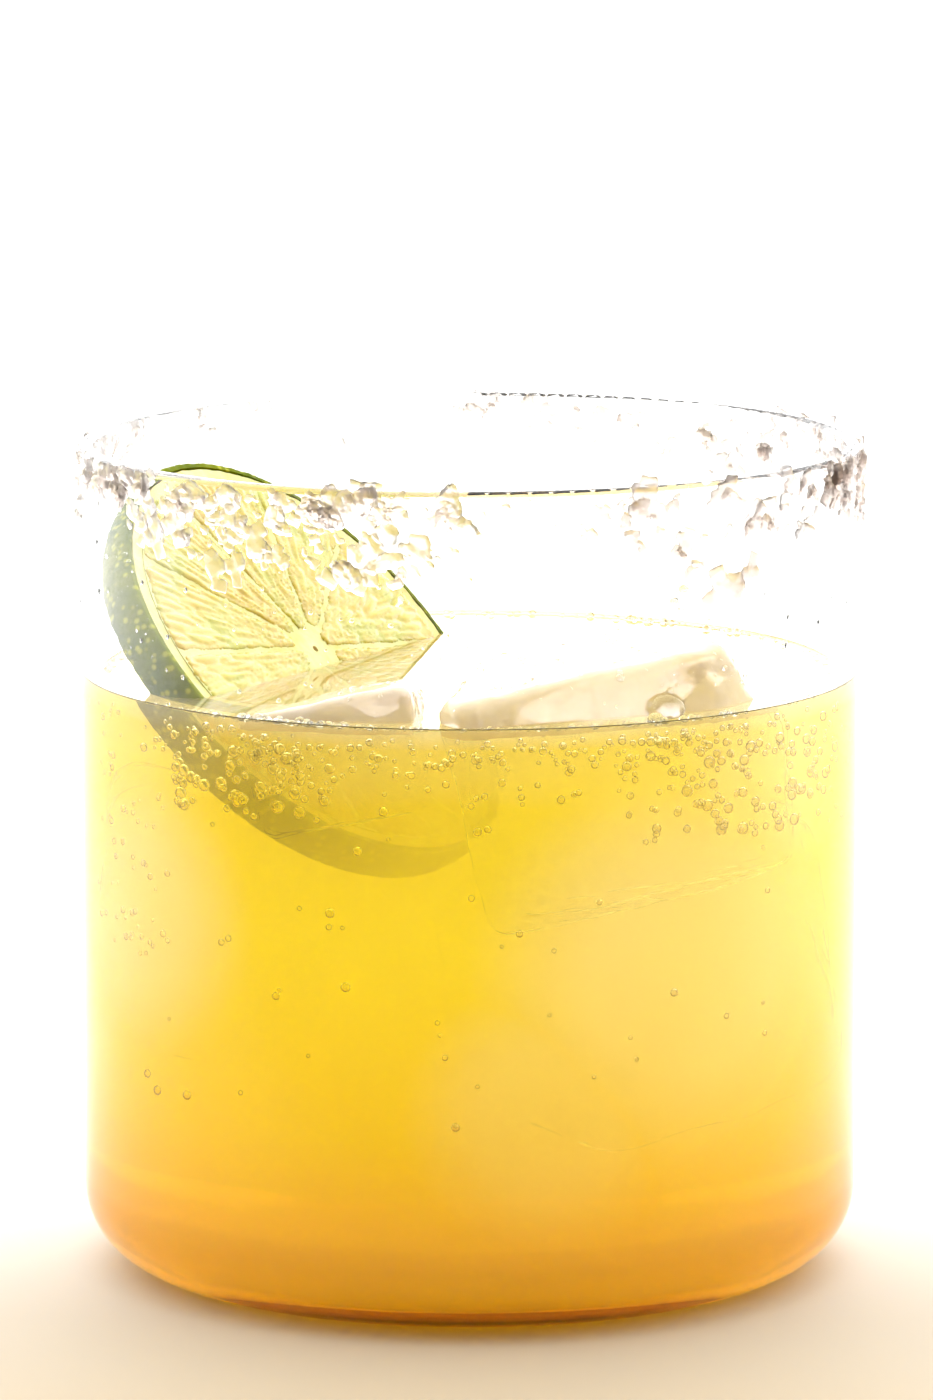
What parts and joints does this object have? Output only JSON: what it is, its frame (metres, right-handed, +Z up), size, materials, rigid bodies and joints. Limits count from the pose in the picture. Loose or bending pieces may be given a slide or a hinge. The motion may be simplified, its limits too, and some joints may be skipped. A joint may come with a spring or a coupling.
{
  "type": "margarita cocktail",
  "caption": "Margarita on ice in a straight-sided tumbler with a coarse salt rim and a lime wheel leaning half sunk in the drink.",
  "frame": {"origin": "middle of the glass's flat base, on the table", "axes": "+Z up along the glass's axis; -Y is the front, from which the lime wheel leans on the left (-X)"},
  "size_m": [0.0852, 0.0852, 0.0885],
  "materials": {
    "clear_glass": "clear, polished",
    "drink": "cloudy yellow juice, orange towards the floor",
    "ice": "wet, clear to milky",
    "lime_rind": "waxy, pored",
    "lime_pith": "moist",
    "lime_pulp": "wet, glistening",
    "salt": "coarse crystals"
  },
  "bodies": {
    "root": {"glass": "clear_glass", "drink": "drink", "ice_block": "ice", "ice_wedge": "ice", "lime_rind": "lime_rind", "lime_pith": "lime_pith", "lime_segment_01": "lime_pulp", "lime_segment_02": "lime_pulp", "lime_segment_03": "lime_pulp", "lime_segment_04": "lime_pulp", "lime_segment_05": "lime_pulp", "lime_segment_06": "lime_pulp", "lime_segment_07": "lime_pulp", "lime_segment_08": "lime_pulp", "lime_segment_09": "lime_pulp", "lime_segment_10": "lime_pulp", "salt_rim": "salt"}
  },
  "joints": []
}
